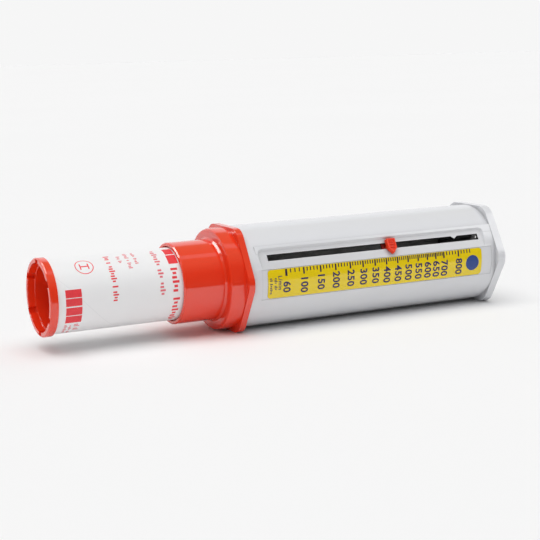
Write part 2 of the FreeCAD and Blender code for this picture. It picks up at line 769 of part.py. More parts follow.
def make_pointer_leaf():
    """Folded leaf spring that holds the pointer where the piston leaves it."""
    body = new_body("pointer_leaf")
    low = "leaf_floor"
    high = "leaf_floor + leaf_rise"
    sheet_up = " + leaf_thickness"
    out = "leaf_span / 2"
    fold = "(leaf_span / 2 - leaf_foot)"
    crown = "(leaf_foot / 2)"
    folds = [(f"pointer_middle - {out}", low), (f"pointer_middle - {fold}", low),
             (f"pointer_middle - {crown}", high), (f"pointer_middle + {crown}", high),
             (f"pointer_middle + {fold}", low), (f"pointer_middle + {out}", low)]
    back = [(along, up + sheet_up) for along, up in reversed(folds)]
    leaf = new_sketch(body, "LeafSketch", "XZ_Plane", turn="shoe_middle_angle + leaf_turn_angle")
    polygon(leaf, folds + back)
    padded(body, "Leaf", leaf, "leaf_width", both_ways=True)
    place(body, PANEL_TURN)
    return body


def build():
    """Make every piece, check it and write it to its own file."""
    pieces = [
        make_tube(), make_valve_body(), make_valve_flap(), make_valve_clip(),
        make_nozzle(), make_barrel(), make_label(), make_rear_plate(),
        make_rod(), make_rod_nut(),
        make_washer("rod_clip", "plate_back", "clip_thickness", "rod_hole", "clip_radius"),
        make_washer("front_buffer", "hub_end", "buffer_thickness", "rod_hole", "hub_radius"),
        make_washer("rear_buffer", "seat_cup_at - rear_buffer_length", "rear_buffer_length",
                    "rod_hole", "rear_buffer_radius"),
        make_spring_seat(), make_piston(), make_bush(), make_spring(),
        make_pointer(), make_pointer_shoe(), make_pointer_leaf()]
    doc.recompute()
    for item in doc.Objects:
        if "Invalid" in item.State or "Error" in item.State:
            raise ValueError(f"{item.Name} is {item.State}")
    os.makedirs("parts", exist_ok=True)
    for piece in pieces:
        shape = piece.Shape
        if shape.isNull() or not shape.isValid() or len(shape.Solids) != 1:
            raise ValueError(f"{piece.Label} has no single valid solid")
        shape.exportStep(f"parts/{piece.Label}.step")
        box = shape.BoundBox
        print(f"{piece.Label:18s} {shape.Volume:9.1f} mm3"
              f"  x {box.XMin:7.2f} {box.XMax:7.2f}  y {box.YMin:7.2f} {box.YMax:7.2f}"
              f"  z {box.ZMin:7.2f} {box.ZMax:7.2f}")


build()
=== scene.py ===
import math

import bmesh
import bpy
from mathutils import Matrix, Vector


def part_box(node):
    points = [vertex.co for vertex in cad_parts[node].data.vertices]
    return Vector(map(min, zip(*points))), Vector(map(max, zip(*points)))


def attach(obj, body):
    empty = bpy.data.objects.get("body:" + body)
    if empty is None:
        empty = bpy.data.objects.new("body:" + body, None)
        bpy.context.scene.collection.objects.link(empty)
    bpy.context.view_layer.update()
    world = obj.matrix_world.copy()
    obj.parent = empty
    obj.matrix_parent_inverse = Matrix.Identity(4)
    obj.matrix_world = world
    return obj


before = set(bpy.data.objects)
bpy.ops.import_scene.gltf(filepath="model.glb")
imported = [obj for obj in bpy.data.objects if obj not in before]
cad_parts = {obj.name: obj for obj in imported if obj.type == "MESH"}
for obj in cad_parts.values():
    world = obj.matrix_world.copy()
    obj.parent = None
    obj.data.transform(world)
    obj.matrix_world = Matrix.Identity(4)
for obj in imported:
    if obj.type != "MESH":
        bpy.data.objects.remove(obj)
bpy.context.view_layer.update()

# Sizes and places are millimetres along, round or across the meter, and MM turns them into metres.
MM = 0.001

# The camera stands where the photograph was taken from. The nearest distance it sees is in metres.
CAMERA_PLACE = Vector((-262.995, -507.53, 119.5)) * MM
CAMERA_AZIMUTH = math.radians(-27.248)
CAMERA_ELEVATION = math.radians(9.587)
CAMERA_ROLL = math.radians(-1.267)
CAMERA_LENS = 90.23
CAMERA_SENSOR = 36.0
CAMERA_NEAR = 0.01

# Stations along the meter and radii, read from the frame where its boxes give them.
AXIS_HEIGHT = sum(corner.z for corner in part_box("mouthpiece_tube")) / 2 / MM
TUBE_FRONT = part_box("mouthpiece_tube")[0].x / MM
TUBE_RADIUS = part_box("mouthpiece_tube")[1].y / MM
BARREL_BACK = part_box("barrel")[1].x / MM
LABEL_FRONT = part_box("scale_label")[0].x / MM
LABEL_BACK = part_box("scale_label")[1].x / MM
LABEL_RADIUS = 21.61
BORE_RADIUS = 19.9

# The slot panel faces the reader, turned up from level. The slot's walls lie between two heights up
# the panel, and the tray's floor at a distance out from the axis.
PANEL_TILT = math.radians(30)
OUTWARD = Vector((0, -math.cos(PANEL_TILT), math.sin(PANEL_TILT)))
UPWARD = Vector((0, math.sin(PANEL_TILT), math.cos(PANEL_TILT)))
AXIS = Vector((0, 0, AXIS_HEIGHT))
SLOT_LOW = -2.5
SLOT_HIGH = 0.75
TRAY_FLOOR = 20.95
# How near a face has to be to the bore, the slot's walls or the tray's floor to belong to it.
BORE_BAND = 0.3
SLOT_BAND = 1.0
TRAY_BAND = 0.15
# Cosines: a face looks outward above the first and stands across that way below the second.
FACING = 0.99
ACROSS = 0.3
# Rear skin of the vent plate that keeps the barrel's finish; the plate's inner side takes painted shade.
PLATE_SKIN = 0.3

# Scales of the materials' noise, in waves per metre.
DRIFT_SCALE = 45.0
GRAIN_SCALE = 900.0
INK_SCALE = 2500.0
FIBRE_SCALE = 600.0
CLOUD_SCALE = 60.0
FLOOR_SCALE = 3.0
DRAWN_LINES = (40.0, 2500.0, 2500.0)
# How much an ink's colour varies to each side.
INK_SHIFT = 0.15
# Painted shade in creases: reach in metres, samples, and the open share at which it is darkest.
CREASE_SHADE_REACH = 0.0026
CREASE_SHADE_SAMPLES = 16
CREASE_SHADE_LEAST = 0.3
COAT_ROUGHNESS = 0.05
# Painted shade in the bore grows between these distances from the barrel's rear end.
BORE_SHADE_FROM = 34.0
BORE_SHADE_TO = 8.0
BORE_SHADE_COLOR = (0.42, 0.41, 0.41, 1.0)
# Spiral seam of the paper on the tube: advance in one turn, start from the tube's front, half width,
# depth against the fibres and strength of its shade.
SEAM_PITCH = 91.0
SEAM_START = 10.06
SEAM_WIDTH = 0.16
SEAM_DEPTH = 2.0
SEAM_TONE = 0.45

# Width of the softened edge of each node that has one.
EDGE_ROUNDS = {"barrel": 0.3, "nozzle": 0.6, "rear_vent_plate": 0.25, "pointer": 0.18,
               "valve_body": 0.2, "mouthpiece_tube": 0.1, "piston": 0.15}
EDGE_STEPS = 3
# Nodes whose flats are merged before their edges are softened.
MERGED_FLATS = ("barrel", "nozzle", "pointer")
FLAT_ANGLE = math.radians(0.5)
SMOOTH_ANGLE = math.radians(32)
WELD_REACH = 0.002

# Prints: height off their cylinder, arc length between folds, reach within which points are joined,
# steps of a circle and of a curve in text, and letter spacing.
PRINT_LIFT = 0.015
FOLD = 0.6
JOIN_REACH = 0.0005
ROUND_STEPS = 48
TEXT_STEPS = 6
TEXT_SPACING = 1.08

# Scale on the label: station of each marked flow, from the label's front end, and its top edge.
MARKS = {60: 8.6, 100: 16.9, 150: 24.9, 200: 32.15, 250: 39.3, 300: 45.6, 350: 51.6,
         400: 57.35, 450: 63.0, 500: 68.3, 550: 73.5, 600: 78.3, 650: 82.7, 700: 87.0, 800: 94.7}
FIRST_FLOW = min(MARKS)
LABEL_TOP = math.radians(13.3)
# Ticks hang just below the label's top edge: the gap, and width and length of the common, first and
# small ones.
TICK_INSET = 0.12
MAJOR_TICK = (0.72, 2.75)
FIRST_TICK = (1.0, 2.9)
MINOR_TICK = (0.5, 1.6)
# Small ticks stand 10 apart up to 700 and 20 apart above it.
MINOR_FLOWS = list(range(60, 700, 10)) + list(range(700, 881, 20))
# Numbers: their middle below the label's top edge, how much lower the first ones and the later ones
# stand, size and weight.
NUMBER_MIDDLE = 7.0
NUMBER_DROP = {60: 0.65, 100: 0.3, 150: -0.15}
LATER_FLOW = 400
LATER_DROP = 0.3
NUMBER_SIZE = 4.6
NUMBER_BOLD = 0.13
# The unit: distance from the label's front, distance below its top edge, size and weight.
UNIT_STATION = 5.6
UNIT_DROP = 5.6
UNIT_SIZE = 2.5
UNIT_BOLD = 0.05
# Two rows of plain bars before the scale: distances from the label's front, distances below its top
# edge, and how many bars stand together.
LABEL_ROWS = [
    (2.9, 4.3, 3.4, 8.6, (4, 3)),
    (0.9, 2.1, 3.4, 10.4, (2, 6)),
]
# Disc at the label's end: distance from the label's front, angle up from level and radius.
DISC_STATION = 102.1
DISC_ANGLE = math.radians(-3.5)
DISC_RADIUS = 3.45

# Plain red prints on the tube. Each row: distances from the tube's front, angles in degrees from level
# towards the top, and how many bars stand together.
BOLD_ROWS = [
    (22.7, 25.1, 74.0, -8.5, (3, 1, 7, 1, 4)),
    (48.3, 51.2, 35.0, -66.0, (6, 8)),
]
FINE_ROWS = [
    (27.8, 29.4, 70.0, 53.0, (3, 2)),
    (31.2, 32.9, 77.0, 40.5, (5, 1, 4)),
    (34.5, 35.9, 78.0, 48.0, (4, 4)),
    (42.7, 45.0, 77.0, -7.5, (7, 3, 4)),
    (3.3, 4.6, -41.0, -66.0, (8,)),
    (5.3, 6.5, -43.0, -70.0, (4, 3)),
    (7.3, 9.6, -40.5, -58.0, (2, 2)),
]
# Solid blocks: distances from the tube's front, and angles from and to.
SOLID_BLOCKS = [
    (3.2, 9.8, 17.4, 5.3), (3.2, 9.8, 4.2, -7.6), (3.25, 9.85, -9.6, -22.4), (3.3, 9.9, -23.6, -36.6),
    (48.6, 52.4, 80.0, 62.5), (48.3, 52.4, 60.5, 42.4)]
# Shares: the gap between the bars of a row, and what a short bar lacks at its foot and at its head.
BAR_GAP = 0.42
SHORT_FOOT = 0.18
SHORT_HEAD = 0.28
# Ring with three bars in it: distance from the tube's front, angle, radii and sizes of its bars.
RING_STATION = 13.3
RING_ANGLE = math.radians(54.1)
RING_OUTER = 3.8
RING_INNER = 3.45
STEM_HALF_LENGTH = 1.9
STEM_HALF_WIDTH = 0.28
FOOT_WIDTH = 0.5
FOOT_HALF_LENGTH = 1.5

# Grip ribs across the pointer's face, and how near that face a point has to be to belong to it.
RIB_COUNT = 3
RIB_START = 1.5
RIB_PITCH = 1.25
RIB_WIDTH = 2.3
RIB_HEIGHT = 0.42
RIB_DEPTH = 0.6
RIB_SUNK = 0.2
RIB_ROUND = 0.15
FACE_BAND = 0.3

# Light levels: the floor's brightness is the same as the backdrop's, so that no horizon shows.
BACKDROP = 0.923
SKY_LIGHT = 0.44
SUN_LIGHT = 1.86
SUN_WIDTH = math.radians(60)
SUN_FROM = (-0.15, -0.12, 1.0)
# What polished faces see: a dim room, a paler ceiling that fades in towards CEILING_WAY, and a pale
# wall that fades in behind the meter.
ROOM_GLOSS = 0.05
CEILING_COLOR = (0.38, 0.37, 0.24, 1.0)
CEILING_WAY = (0.0, 0.6, 1.0)
CEILING_FROM = (0.0, 0.55)
WALL_GLOSS = 0.95
WALL_FROM = (0.58, 0.67)
# Lit strip overhead that polished faces see: pitch from the reader's side, half width and the share
# of it that is fully lit.
STRIP_PITCH = math.radians(83)
STRIP_HALF = math.radians(7)
STRIP_FULL = 0.8
STRIP_COLOR = (0.8, 0.8, 0.75, 1.0)
# Softboxes that only show in polished faces: direction, width and height in metres, and power. They
# hang this many metres from the origin and face a point just above it.
SOFT_BOXES = {
    "right_box": ((0.66, -0.49, 0.57), 0.285, 0.5, 2.2),
    "left_strip": ((-0.62, 0.38, 0.68), 0.9, 0.3, 6.0),
}
BOX_DISTANCE = 1.5
BOX_AIM = Vector((0.0, 0.0, 0.02))
# Floor and black card in metres: how far they reach from the middle, the card's edge and its height.
FLOOR_REACH = 8.0
CARD_REACH = 4.0
CARD_EDGE = -0.15
CARD_LIFT = 0.0004


def node_tree(name):
    """Start a node material and return it with its tree and shader."""
    material = bpy.data.materials.new(name)
    material.use_nodes = True
    tree = material.node_tree
    return material, tree, tree.nodes["Principled BSDF"]


def add(tree, kind, **values):
    """Add a shader node and set its attributes and input defaults."""
    node = tree.nodes.new(kind)
    for key, value in values.items():
        if key in node.inputs:
            node.inputs[key].default_value = value
        else:
            setattr(node, key, value)
    return node


def noise(tree, coordinates, scale, detail=3.0, roughness=0.5):
    """Add a noise texture on given coordinates."""
    node = add(tree, "ShaderNodeTexNoise", Scale=scale, Detail=detail, Roughness=roughness)
    tree.links.new(coordinates, node.inputs["Vector"])
    return node.outputs["Fac"]


def remap(tree, source, low, high, start=0.0, end=1.0):
    """Map a value from the range start to end into the range low to high."""
    node = add(tree, "ShaderNodeMapRange")
    for socket, number in (("From Min", start), ("From Max", end), ("To Min", low), ("To Max", high)):
        node.inputs[socket].default_value = number
    tree.links.new(source, node.inputs["Value"])
    return node.outputs["Result"]


def mixed(tree, factor, first, second, blend="MIX"):
    """Mix two colours by a factor, each of the three a value or a socket."""
    node = add(tree, "ShaderNodeMix", data_type="RGBA", blend_type=blend)
    for socket, value in ((node.inputs[0], factor), (node.inputs[6], first), (node.inputs[7], second)):
        if isinstance(value, (tuple, float)):
            socket.default_value = value
        else:
            tree.links.new(value, socket)
    return node.outputs[2]


def math_node(tree, operation, first, second=0.0):
    """Add a math node on sockets or numbers."""
    node = add(tree, "ShaderNodeMath", operation=operation)
    for socket, value in zip(node.inputs, (first, second)):
        if isinstance(value, float):
            socket.default_value = value
        else:
            tree.links.new(value, socket)
    return node.outputs[0]


def split(tree, vector):
    """Split a vector socket into its X, Y and Z."""
    parts = add(tree, "ShaderNodeSeparateXYZ")
    tree.links.new(vector, parts.inputs[0])
    return parts.outputs


def bumped(tree, shader, height, distance, strength):
    """Feed a height to the shader's normal."""
    bump = add(tree, "ShaderNodeBump", Strength=strength, Distance=distance)
    tree.links.new(height, bump.inputs["Height"])
    tree.links.new(bump.outputs["Normal"], shader.inputs["Normal"])


def object_coordinates(tree):
    """Object coordinates, which move with the piece."""
    return add(tree, "ShaderNodeTexCoord").outputs["Object"]


def shaded(color, factor):
    """Scale a colour, no channel past white, and give it its alpha."""
    return tuple(min(channel * factor, 1.0) for channel in color) + (1.0,)


def level(brightness):
    """Give a neutral grey of this brightness."""
    return (brightness,) * 3 + (1.0,)


def creviced(tree, color, depth):
    """Paint shade into a colour in creases and along walls, darker where less of the sky is open."""
    open_sky = add(tree, "ShaderNodeAmbientOcclusion", samples=CREASE_SHADE_SAMPLES, Distance=CREASE_SHADE_REACH)
    deep = remap(tree, open_sky.outputs["AO"], 1.0 - depth, 1.0, CREASE_SHADE_LEAST, 1.0)
    return mixed(tree, 1.0, color, deep, blend="MULTIPLY")


def moulded(name, color, roughness, specular=0.5, coat=0.0, grain=0.00002, shift=0.04, crease_shade_depth=0.0):
    """Moulded plastic: slight colour drift, fine grain, polish that varies a little, and painted shade in
    creases where asked.
    """
    material, tree, shader = node_tree(name)
    place = object_coordinates(tree)
    drift = noise(tree, place, DRIFT_SCALE, detail=2.0)
    tone = mixed(tree, drift, shaded(color, 1 - shift), shaded(color, 1 + shift))
    tree.links.new(creviced(tree, tone, crease_shade_depth) if crease_shade_depth else tone, shader.inputs["Base Color"])
    fine = noise(tree, place, GRAIN_SCALE, detail=4.0, roughness=0.6)
    polish = remap(tree, fine, low=roughness * 0.95, high=roughness * 1.06)
    tree.links.new(polish, shader.inputs["Roughness"])
    bumped(tree, shader, fine, distance=grain, strength=0.4)
    shader.inputs["Specular IOR Level"].default_value = specular
    shader.inputs["Coat Weight"].default_value = coat
    shader.inputs["Coat Roughness"].default_value = COAT_ROUGHNESS
    return material


def make_bore():
    """Dull grey inside of the barrel, paler than the outside grey as painted light, with painted shade
    growing towards the rear vents.
    """
    material = moulded("grey_plastic_bore", (0.88, 0.87, 0.87), 0.5, shift=0.03)
    tree = material.node_tree
    color = tree.nodes["Principled BSDF"].inputs["Base Color"]
    unshaded = color.links[0].from_socket
    station = split(tree, object_coordinates(tree))["X"]
    # Painted shade: the bore turns darker towards the rear end.
    bore_shade = remap(tree, station, 0.0, 1.0, (BARREL_BACK - BORE_SHADE_FROM) * MM, (BARREL_BACK - BORE_SHADE_TO) * MM)
    tree.links.new(mixed(tree, bore_shade, unshaded, BORE_SHADE_COLOR), color)
    return material


def print_ink(name, color, roughness=0.35):
    """Flat printed ink with slight unevenness."""
    material, tree, shader = node_tree(name)
    uneven = noise(tree, object_coordinates(tree), INK_SCALE, detail=2.0)
    tone = mixed(tree, uneven, shaded(color, 1 - INK_SHIFT), shaded(color, 1 + INK_SHIFT))
    tree.links.new(tone, shader.inputs["Base Color"])
    shader.inputs["Roughness"].default_value = roughness
    return material


def spiral_seam(tree, place):
    """Find how near a point is to the seam of the paper wound round the tube: 1 on it, 0 off it."""
    parts = split(tree, place)
    height = math_node(tree, "SUBTRACT", parts["Z"], AXIS_HEIGHT * MM)
    front = math_node(tree, "MULTIPLY", parts["Y"], -1.0)
    angle = math_node(tree, "ARCTAN2", height, front)
    wound = math_node(tree, "MULTIPLY", angle, SEAM_PITCH * MM / (2 * math.pi))
    advance = math_node(tree, "ADD", parts["X"], wound)
    off_seam = math_node(tree, "SUBTRACT", advance, (TUBE_FRONT + SEAM_START) * MM)
    return remap(tree, math_node(tree, "ABSOLUTE", off_seam), 1.0, 0.0, 0.0, SEAM_WIDTH * MM)


def make_card():
    """Smooth white paper wound on the tube, with fibres and a faint spiral seam."""
    material, tree, shader = node_tree("white_card")
    place = object_coordinates(tree)
    fibres = noise(tree, place, FIBRE_SCALE, detail=5.0, roughness=0.7)
    cloud = noise(tree, place, CLOUD_SCALE, detail=2.0)
    seam = spiral_seam(tree, place)
    tone = mixed(tree, cloud, (0.88, 0.88, 0.89, 1.0), (0.92, 0.92, 0.925, 1.0))
    fibrous = mixed(tree, remap(tree, fibres, low=0.0, high=0.25), tone, (0.84, 0.84, 0.85, 1.0))
    seam_shade = math_node(tree, "MULTIPLY", seam, SEAM_TONE)
    tree.links.new(mixed(tree, seam_shade, fibrous, (0.60, 0.60, 0.62, 1.0)), shader.inputs["Base Color"])
    tree.links.new(remap(tree, fibres, low=0.38, high=0.52), shader.inputs["Roughness"])
    relief = math_node(tree, "SUBTRACT", fibres, math_node(tree, "MULTIPLY", seam, SEAM_DEPTH))
    bumped(tree, shader, relief, distance=0.00003, strength=0.35)
    return material


def make_film():
    """Milky thin film of the valve flap."""
    material = moulded("clear_film", (0.80, 0.80, 0.78), 0.35, grain=0.00001)
    material.node_tree.nodes["Principled BSDF"].inputs["Transmission Weight"].default_value = 0.4
    return material


def make_steel(name, color, roughness):
    """Drawn steel with fine lengthwise lines."""
    material, tree, shader = node_tree(name)
    stretch = add(tree, "ShaderNodeMapping", Scale=DRAWN_LINES)
    tree.links.new(object_coordinates(tree), stretch.inputs["Vector"])
    lines = noise(tree, stretch.outputs[0], scale=1.0)
    polish = remap(tree, lines, low=roughness * 0.7, high=roughness * 1.4)
    tree.links.new(polish, shader.inputs["Roughness"])
    tree.links.new(mixed(tree, lines, shaded(color, 0.85), shaded(color, 1.0)), shader.inputs["Base Color"])
    shader.inputs["Metallic"].default_value = 1.0
    bumped(tree, shader, lines, distance=0.00001, strength=0.3)
    return material


# Grey of the barrel and vent plate, with painted shade in its creases.
grey = moulded("grey_plastic", (0.740, 0.747, 0.775), 0.24, grain=0.0000015, shift=0.015, crease_shade_depth=0.4)
bore_grey = make_bore()
# Tray floor: satin grey, darker than the barrel's, with deeper crease shade; the darkness is painted shade
# of the recess.
tray_shaded_grey = moulded("grey_plastic_tray_shaded", (0.663, 0.668, 0.69), 0.3, grain=0.0000015, shift=0.015,
                    crease_shade_depth=0.6)
# Dark grey for the vent plate's inner side: painted shade.
vent_shade_grey = moulded("grey_plastic_vents_shaded", (0.25, 0.25, 0.252), 0.5, shift=0.05)
# Near-black for the slot's walls: painted shade, so the slot looks dark inside.
slot_shade_black = moulded("slot_wall_painted_shade", (0.03, 0.03, 0.032), 0.5, shift=0.1)
red = moulded("red_plastic", (0.86, 0.040, 0.010), 0.10, specular=0.9, coat=0.3, shift=0.02)
satin_red = moulded("red_plastic_satin", (0.88, 0.050, 0.014), 0.38, specular=0.35, grain=0.000006,
                    shift=0.02)
# Dark red for the pointer's shoe inside the slot: a shaded copy of the red, painted shade.
shaded_red = moulded("red_plastic_inside_shaded", (0.30, 0.012, 0.006), 0.35, shift=0.02)
yellow = moulded("yellow_label", (0.86, 0.64, 0.002), 0.14, specular=0.8, grain=0.000006, shift=0.02)
rubber = moulded("black_rubber", (0.03, 0.03, 0.03), 0.6)
dark_plastic = moulded("dark_plastic", (0.03, 0.03, 0.032), 0.4)
white_plastic = moulded("white_plastic", (0.8, 0.8, 0.78), 0.35)
card = make_card()
film = make_film()
steel = make_steel("steel", (0.55, 0.55, 0.56), 0.28)
dark_steel = make_steel("steel_inside", (0.16, 0.16, 0.165), 0.45)
navy = print_ink("navy_ink", (0.030, 0.022, 0.10))
tick_ink = print_ink("tick_ink", (0.026, 0.010, 0.050))
blue = print_ink("blue_ink", (0.018, 0.060, 0.27))
red_ink = print_ink("red_ink", (0.84, 0.042, 0.055), 0.45)
faint_ink = print_ink("faint_red_ink", (0.80, 0.16, 0.19), 0.45)

NODE_MATERIALS = {
    "barrel": grey, "rear_vent_plate": grey, "nozzle": red, "scale_label": yellow,
    "guide_rod": steel, "rod_nut": steel, "rod_clip": steel, "front_buffer": rubber,
    "rear_buffer": rubber, "spring_seat": dark_steel, "piston": dark_plastic,
    "piston_bush": white_plastic, "return_spring": dark_steel, "pointer": satin_red,
    "pointer_shoe": shaded_red, "pointer_leaf": steel, "mouthpiece_tube": card, "valve_body": red,
    "valve_flap": film, "valve_clip": red}


def finish_barrel(mesh):
    """Give the barrel's bore its paler grey with painted shade, the slot's walls a near-black painted shade
    and the tray a satin grey darkened as painted shade.
    """
    bore, slot, tray = 1, 2, 3
    for material in (bore_grey, slot_shade_black, tray_shaded_grey):
        mesh.materials.append(material)
    for face in mesh.polygons:
        corners = [mesh.vertices[index].co / MM - AXIS for index in face.vertices]
        farthest = max(math.hypot(corner.y, corner.z) for corner in corners)
        middle = face.center / MM - AXIS
        out, up = middle.dot(OUTWARD), middle.dot(UPWARD)
        facing = face.normal.dot(OUTWARD)
        in_slot = out > BORE_RADIUS - SLOT_BAND and SLOT_LOW < up < SLOT_HIGH
        if farthest < BORE_RADIUS + BORE_BAND:
            face.material_index = bore
        elif in_slot and abs(facing) < ACROSS and LABEL_FRONT < middle.x < LABEL_BACK + SLOT_BAND:
            face.material_index = slot
        elif facing > FACING and abs(out - TRAY_FLOOR) < TRAY_BAND:
            face.material_index = tray


def finish_plate(mesh):
    """Paint shade on the vent plate's inner side as a dull dark grey."""
    mesh.materials.append(vent_shade_grey)
    back = max(vert.co.x for vert in mesh.vertices)
    for face in mesh.polygons:
        if face.center.x < back - PLATE_SKIN * MM:
            face.material_index = 1


def soften_edges(node_object, width):
    """Round a node's sharp edges."""
    edge = node_object.modifiers.new("edge", "BEVEL")
    edge.width = width * MM
    edge.segments = EDGE_STEPS
    edge.limit_method = "ANGLE"
    edge.angle_limit = SMOOTH_ANGLE
    edge.harden_normals = True


def smooth(mesh):
    """Shade all of a mesh's faces smooth."""
    mesh.polygons.foreach_set("use_smooth", [True] * len(mesh.polygons))


def dress_node(node_name, material):
    """Give a node its material, soft edges and smooth shading."""
    node_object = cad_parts[node_name]
    mesh = node_object.data
    mesh.materials.clear()
    mesh.materials.append(material)
    if node_name == "barrel":
        finish_barrel(mesh)
    if node_name == "rear_vent_plate":
        finish_plate(mesh)
    weld = node_object.modifiers.new("weld", "WELD")
    weld.merge_threshold = WELD_REACH * MM
    if node_name in MERGED_FLATS:
        flat = node_object.modifiers.new("flat", "DECIMATE")
        flat.decimate_type = "DISSOLVE"
        flat.angle_limit = FLAT_ANGLE
        flat.delimit = {"MATERIAL"}
    if node_name in EDGE_ROUNDS:
        soften_edges(node_object, EDGE_ROUNDS[node_name])
    smooth(mesh)
    normals = node_object.modifiers.new("normals", "WEIGHTED_NORMAL")
    normals.keep_sharp = True


def in_scene(name, data):
    """Put an object with the given data into the scene."""
    thing = bpy.data.objects.new(name, data)
    bpy.context.scene.collection.objects.link(thing)
    return thing


def meshed(name, build, material):
    """Turn a finished bmesh into an object of the scene."""
    mesh = bpy.data.meshes.new(name)
    build.to_mesh(mesh)
    build.free()
    mesh.materials.append(material)
    return in_scene(name, mesh)


def wrapped(name, outlines, radius, material, body):
    """Build a thin print from flat outlines in (along, arc) millimetres, folded round a cylinder."""
    build = bmesh.new()
    for outline in outlines:
        build.faces.new([build.verts.new((along, arc, 0.0)) for along, arc in outline])
    arcs = [vert.co.y for vert in build.verts]
    for step in range(1, math.ceil((max(arcs) - min(arcs)) / FOLD)):
        bmesh.ops.bisect_plane(build, geom=build.verts[:] + build.edges[:] + build.faces[:],
                               plane_co=(0.0, min(arcs) + step * FOLD, 0.0), plane_no=(0.0, 1.0, 0.0))
    bmesh.ops.remove_doubles(build, verts=build.verts[:], dist=JOIN_REACH)
    reach = radius + PRINT_LIFT
    for vert in build.verts:
        angle = vert.co.y / radius
        vert.co = (vert.co.x * MM, -math.cos(angle) * reach * MM,
                   (AXIS_HEIGHT + math.sin(angle) * reach) * MM)
    piece = meshed(name, build, material)
    ink = piece.modifiers.new("ink", "SOLIDIFY")
    ink.thickness = 2 * PRINT_LIFT * MM
    ink.offset = -1.0
    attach(piece, body)


def station_of(flow):
    """Find the station of a flow between the marked ones, or past the last."""
    flows = sorted(MARKS)
    low = max(mark for mark in flows if mark <= flow)
    high = min((mark for mark in flows if mark > flow), default=None)
    if high is None:
        low, high = flows[-2:]
    share = (flow - low) / (high - low)
    return LABEL_FRONT + MARKS[low] + share * (MARKS[high] - MARKS[low])


def block(along_from, along_to, arc_from, arc_to):
    """Outline a plain printed rectangle."""
    return [(along_from, arc_from), (along_to, arc_from), (along_to, arc_to), (along_from, arc_to)]


def make_ticks():
    """Minor and major ticks that hang from the label's top edge."""
    top = LABEL_TOP * LABEL_RADIUS - TICK_INSET
    ticks = []
    for flow in MINOR_FLOWS:
        width, length = MINOR_TICK
        if flow in MARKS:
            width, length = FIRST_TICK if flow == FIRST_FLOW else MAJOR_TICK
        along = station_of(flow)
        ticks.append(block(along - width / 2, along + width / 2, top - length, top))
    wrapped("scale_ticks", ticks, LABEL_RADIUS, tick_ink, "meter")


def text_outlines(words, size, bold):
    """Make flat text, centred, and list the outlines of its triangles."""
    curve = bpy.data.curves.new("words", "FONT")
    curve.body = words
    curve.size = size
    curve.offset = bold
    curve.align_x = "CENTER"
    curve.align_y = "CENTER"
    curve.resolution_u = TEXT_STEPS
    curve.space_character = TEXT_SPACING
    holder = in_scene("words", curve)
    bpy.context.view_layer.update()
    mesh = bpy.data.meshes.new_from_object(holder.evaluated_get(bpy.context.evaluated_depsgraph_get()))
    bpy.data.objects.remove(holder)
    build = bmesh.new()
    build.from_mesh(mesh)
    bmesh.ops.triangulate(build, faces=build.faces[:])
    outlines = [[(vert.co.x, vert.co.y) for vert in face.verts] for face in build.faces]
    build.free()
    bpy.data.meshes.remove(mesh)
    return outlines


def reading_down(outlines, along, arc):
    """Turn flat text so that it reads down the label, its tops to the rear."""
    return [[(along + up, arc - across) for across, up in outline] for outline in outlines]


def make_numbers():
    """Plain numbers under the major ticks."""
    faces = []
    for flow in MARKS:
        drop = NUMBER_DROP.get(flow, LATER_DROP if flow >= LATER_FLOW else 0.0)
        middle = LABEL_TOP * LABEL_RADIUS - NUMBER_MIDDLE - drop
        faces += reading_down(text_outlines(str(flow), NUMBER_SIZE, NUMBER_BOLD), station_of(flow), middle)
    wrapped("scale_numbers", faces, LABEL_RADIUS, navy, "meter")


def round_points(along, arc, radius):
    """List the points of a circle."""
    turns = [2 * math.pi * step / ROUND_STEPS for step in range(ROUND_STEPS)]
    return [(along + math.cos(turn) * radius, arc + math.sin(turn) * radius) for turn in turns]


def ring_faces(along, arc, outer, inner):
    """List the quads of a flat ring."""
    within = round_points(along, arc, inner)
    around = round_points(along, arc, outer)
    return [[within[step - 1], around[step - 1], around[step], within[step]]
            for step in range(ROUND_STEPS)]


def bar_row(along_low, along_high, arc_from, arc_to, words):
    """Plain bars in a row round a cylinder, as long and as tall as small print; no letters."""
    pitch = (arc_from - arc_to) / (sum(words) + len(words) - 1)
    height = along_high - along_low
    bars = []
    place = 0
    for word in words:
        for _ in range(word):
            top = arc_from - place * pitch
            kind = (place * 7 + word) % 3
            foot = SHORT_FOOT * height if kind == 1 else 0.0
            head = SHORT_HEAD * height if kind else 0.0
            bars.append(block(along_low + foot, along_high - head, top - pitch * (1 - BAR_GAP), top))
            place += 1
        place += 1
    return bars


def tube_arc(degrees):
    """Turn an angle on the tube into an arc length."""
    return math.radians(degrees) * TUBE_RADIUS


def make_round_mark():
    """Outline a ring with one long and two short bars in it."""
    along = TUBE_FRONT + RING_STATION
    arc = RING_ANGLE * TUBE_RADIUS
    front = along - STEM_HALF_LENGTH
    back = along + STEM_HALF_LENGTH
    return ring_faces(along, arc, RING_OUTER, RING_INNER) + [
        block(front, back, arc - STEM_HALF_WIDTH, arc + STEM_HALF_WIDTH),
        block(front, front + FOOT_WIDTH, arc - FOOT_HALF_LENGTH, arc + FOOT_HALF_LENGTH),
        block(back - FOOT_WIDTH, back, arc - FOOT_HALF_LENGTH, arc + FOOT_HALF_LENGTH)]


def make_tube_prints():
    """Generic red prints on the tube, bold and fine."""
    bold, fine = [], []
    for rows, bars in ((BOLD_ROWS, bold), (FINE_ROWS, fine)):
        for low, high, start, end, words in rows:
            bars += bar_row(TUBE_FRONT + low, TUBE_FRONT + high, tube_arc(start), tube_arc(end), words)
    for low, high, start, end in SOLID_BLOCKS:
        bold.append(block(TUBE_FRONT + low, TUBE_FRONT + high, tube_arc(end), tube_arc(start)))
    bold += make_round_mark()
    wrapped("tube_prints", bold, TUBE_RADIUS, red_ink, "mouthpiece")
    wrapped("tube_small_prints", fine, TUBE_RADIUS, faint_ink, "mouthpiece")


